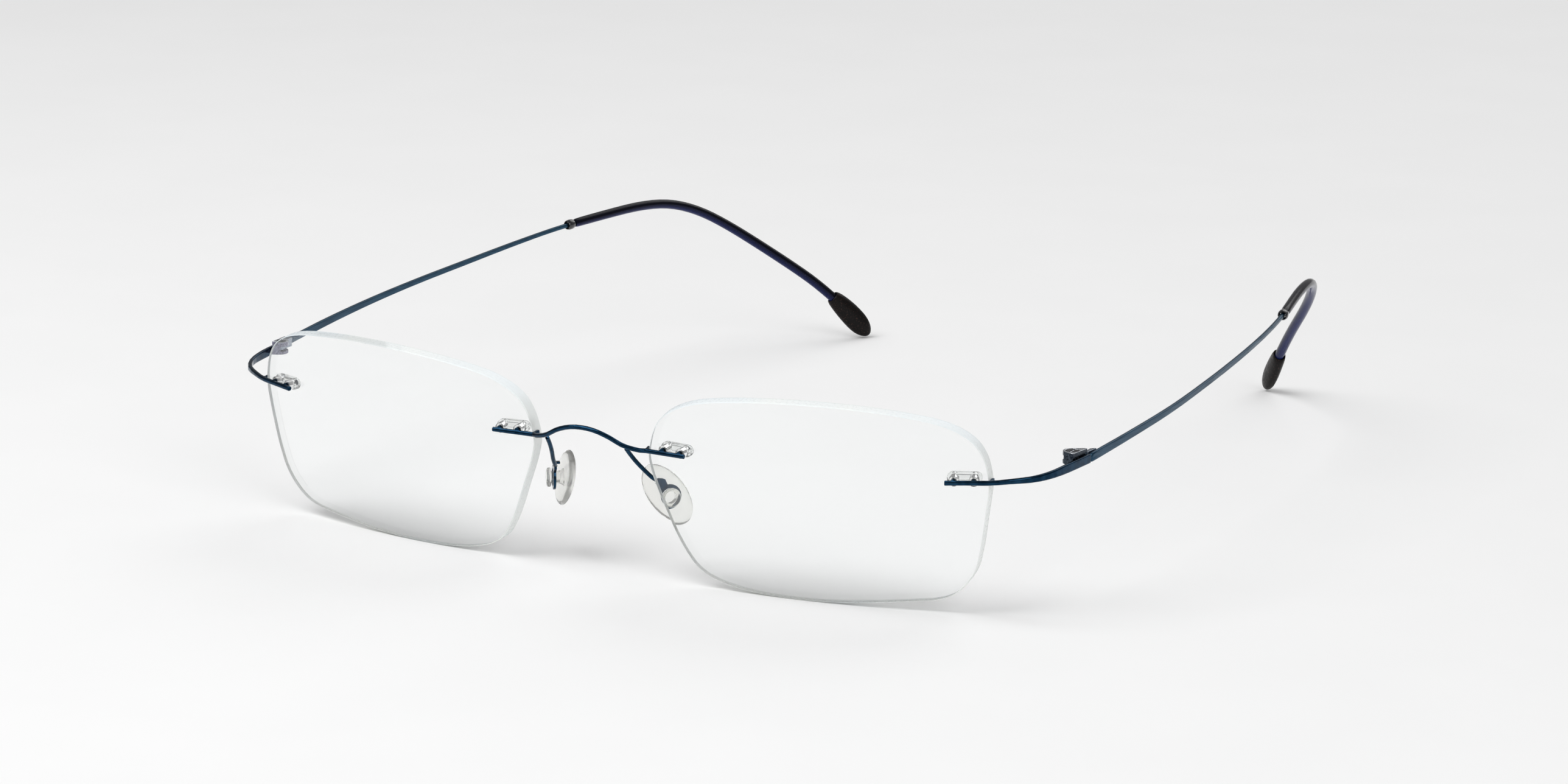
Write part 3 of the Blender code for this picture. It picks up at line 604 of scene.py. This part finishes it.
def make_bush(side_name, mount, lens):
    """A clear oval cap with rolled edges over both pins, and a sleeve round each through the lens."""
    name = f"{side_name}_{mount}_bush"
    pins = MOUNTS[mount]
    start = lens.thickness + BUSH_GAP
    shape = bmesh.new()
    loops = []
    for height, inset in BUSH_SECTION:
        outline = stadium(abs(pins[0] - pins[1]) / 2 + BUSH_REACH, BUSH_RADIUS - inset)
        loops.append([shape.verts.new(Vector((x, y, start + height)) * MM) for x, y in outline])
    for near, far in zip(loops, loops[1:]):
        for i in range(len(near)):
            j = (i + 1) % len(near)
            shape.faces.new((near[i], near[j], far[j], far[i]))
    shape.faces.new(loops[0])
    shape.faces.new(loops[-1])
    piece = add(name, to_mesh(name, shape), ["bush"], lens.mount_frame(pins))
    sleeves, bores = [], []
    for number, matrix in enumerate(lens.pin_frames(pins)):
        ends = (BUSH_SLEEVE_START, start + BUSH_SLEEVE_OVERLAP)
        sleeves.append(cylinder(f"{name}_sleeve_{number}", BUSH_SLEEVE_RADIUS, *ends, matrix))
        bores.append(cylinder(f"{name}_bore_{number}", BORE_RADIUS, *BORE_ENDS, matrix))
    combine(piece, sleeves, "UNION")
    combine(piece, bores, "DIFFERENCE")
    stands_for(piece, f"{mount}_bush_{side_name}", "front")


def make_pad(side_name):
    side = SIDES[side_name]
    rx, ry, rz = PAD_TURN
    turn = Matrix.Rotation(rz, 4, "Z") @ Matrix.Rotation(ry, 4, "Y") @ Matrix.Rotation(rx, 4, "X")
    flip = Matrix.Scale(side, 4, (1, 0, 0))
    joint = Vector(JOINTS[f"pad_rock_{side_name}"]["pos_m"])
    x, y, z = PAD_OFFSET
    pad_frame = Matrix.Translation(joint + Vector((side * x, y, z)) * MM) @ flip @ turn @ flip
    mesh = lathe(f"{side_name}_pad", [(height, share) for share, height in PAD_SECTION], 64)
    stretch = Matrix.Diagonal((PAD_HALF_WIDTH, PAD_HALF_LENGTH, 1, 1))
    # The lathe's axis becomes the pad's thickness, with its domed face towards the nose.
    mesh.transform(Matrix.Rotation(-pi / 2, 4, "X") @ stretch)
    piece = add(f"{side_name}_nose_pad", mesh, ["pad"], pad_frame)
    boss_turn = Matrix.Rotation(side * EYELET_TURN, 4, "Z") @ Matrix.Rotation(pi / 2, 4, "X")
    boss_frame = Matrix.Translation(joint) @ boss_turn
    boss = helper(f"{side_name}_boss", lathe("boss", BOSS_SECTION), boss_frame)
    combine(piece, [boss], "UNION", 50)
    stands_for(piece, f"nose_pad_{side_name}", f"nose_pad_{side_name}")


def make_screw(side_name):
    name = f"{side_name}_screw"
    node = f"hinge_screw_{side_name}"
    piece = softened(node, name, ["screw", "slot"], SCREW_VOXEL, passes=3, keep=0.5)
    low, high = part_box(node)
    middle = ((low + high) / 2).xy
    shallow, deep = SLOT_DEPTHS
    for face in piece.data.polygons:
        sunk = high.z - deep * MM < face.center.z < high.z - shallow * MM
        near = (face.center.xy - middle).length < SLOT_REACH * MM
        if sunk and near and abs(face.normal.z) > SLOT_LEVEL:
            face.material_index = 1
    stands_for(piece, node, "front")


def paint_top_highlight(piece, node):
    """Paints a highlight: the faces near a piece's top that look upwards get its second material."""
    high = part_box(node)[1]
    for face in piece.data.polygons:
        if face.center.z > high.z - TOP_HIGHLIGHT_DEPTH * MM and face.normal.z > TOP_HIGHLIGHT_UPWARDS:
            face.material_index = 1


def make_side(side_name):
    lens = make_lens(side_name)
    for mount in MOUNTS:
        make_bush(side_name, mount, lens)
    make_pad(side_name)
    make_screw(side_name)
    for node, name, look, slot, body, voxel in SOFTENED:
        look = look.format(side=side_name)
        piece = softened(f"{node}_{side_name}", f"{side_name}_{name}", [look, "slot"], voxel)
        # The barrel's upward faces at its top get the silver slot look as a painted highlight.
        if node == "hinge_barrel":
            paint_top_highlight(piece, f"{node}_{side_name}")
        stands_for(piece, f"{node}_{side_name}", body.format(side=side_name))
    for node, name, look, slot in REFINED:
        piece = refined(f"{node}_{side_name}", f"{side_name}_{name}", [look])
        stands_for(piece, f"{node}_{side_name}", f"temple_{side_name}")


def make_stage():
    floor_mesh = bpy.data.meshes.new("floor")
    shape = bmesh.new()
    bmesh.ops.create_grid(shape, x_segments=1, y_segments=1, size=FLOOR_HALF_SIZE)
    shape.to_mesh(floor_mesh)
    shape.free()
    floor = bpy.data.objects.new("floor", floor_mesh)
    bpy.context.scene.collection.objects.link(floor)
    paper = Look("floor_paper", (0.95, 0.95, 0.95), 0.9)
    paper.link(paper.ramp(paper.noise(40), 0.945, 0.955), "Base Color")
    floor_mesh.materials.append(paper.material)

    world = bpy.data.worlds.new("studio")
    world.use_nodes = True
    world.node_tree.nodes["Background"].inputs["Color"].default_value = (1, 1, 1, 1)
    world.node_tree.nodes["Background"].inputs["Strength"].default_value = SKY_STRENGTH
    bpy.context.scene.world = world
    bpy.context.scene.view_settings.view_transform = "Standard"

    for name, place, size, power in LIGHTS:
        light = bpy.data.lights.new(name, "AREA")
        light.shape = "DISK"
        light.size = size
        light.energy = power
        lamp = bpy.data.objects.new(name, light)
        lamp.location = place
        lamp.rotation_euler = (-Vector(place)).to_track_quat("-Z", "Y").to_euler()
        bpy.context.scene.collection.objects.link(lamp)


def make_camera():
    data = bpy.data.cameras.new("camera")
    data.lens = CAMERA_FOCAL
    data.sensor_width = SENSOR_WIDTH
    data.clip_start, data.clip_end = CLIP
    camera = bpy.data.objects.new("camera", data)
    a, e = radians(CAMERA_AZIMUTH), radians(CAMERA_ELEVATION)
    back = Vector((sin(a) * cos(e), -cos(a) * cos(e), sin(e)))
    right = Vector((cos(a), sin(a), 0))
    up = back.cross(right)
    turn = Matrix((right, up, back)).transposed().to_4x4()
    roll = Matrix.Rotation(radians(CAMERA_ROLL), 4, "Z")
    camera.matrix_world = Matrix.Translation(CAMERA_PLACE) @ turn @ roll
    bpy.context.scene.collection.objects.link(camera)
    bpy.context.scene.camera = camera


make_stage()
make_camera()
bridge = softened("bridge", "bridge_wire", ["wire"], BRIDGE_VOXEL)
stands_for(bridge, "bridge", "front")
for side_name in SIDES:
    make_side(side_name)
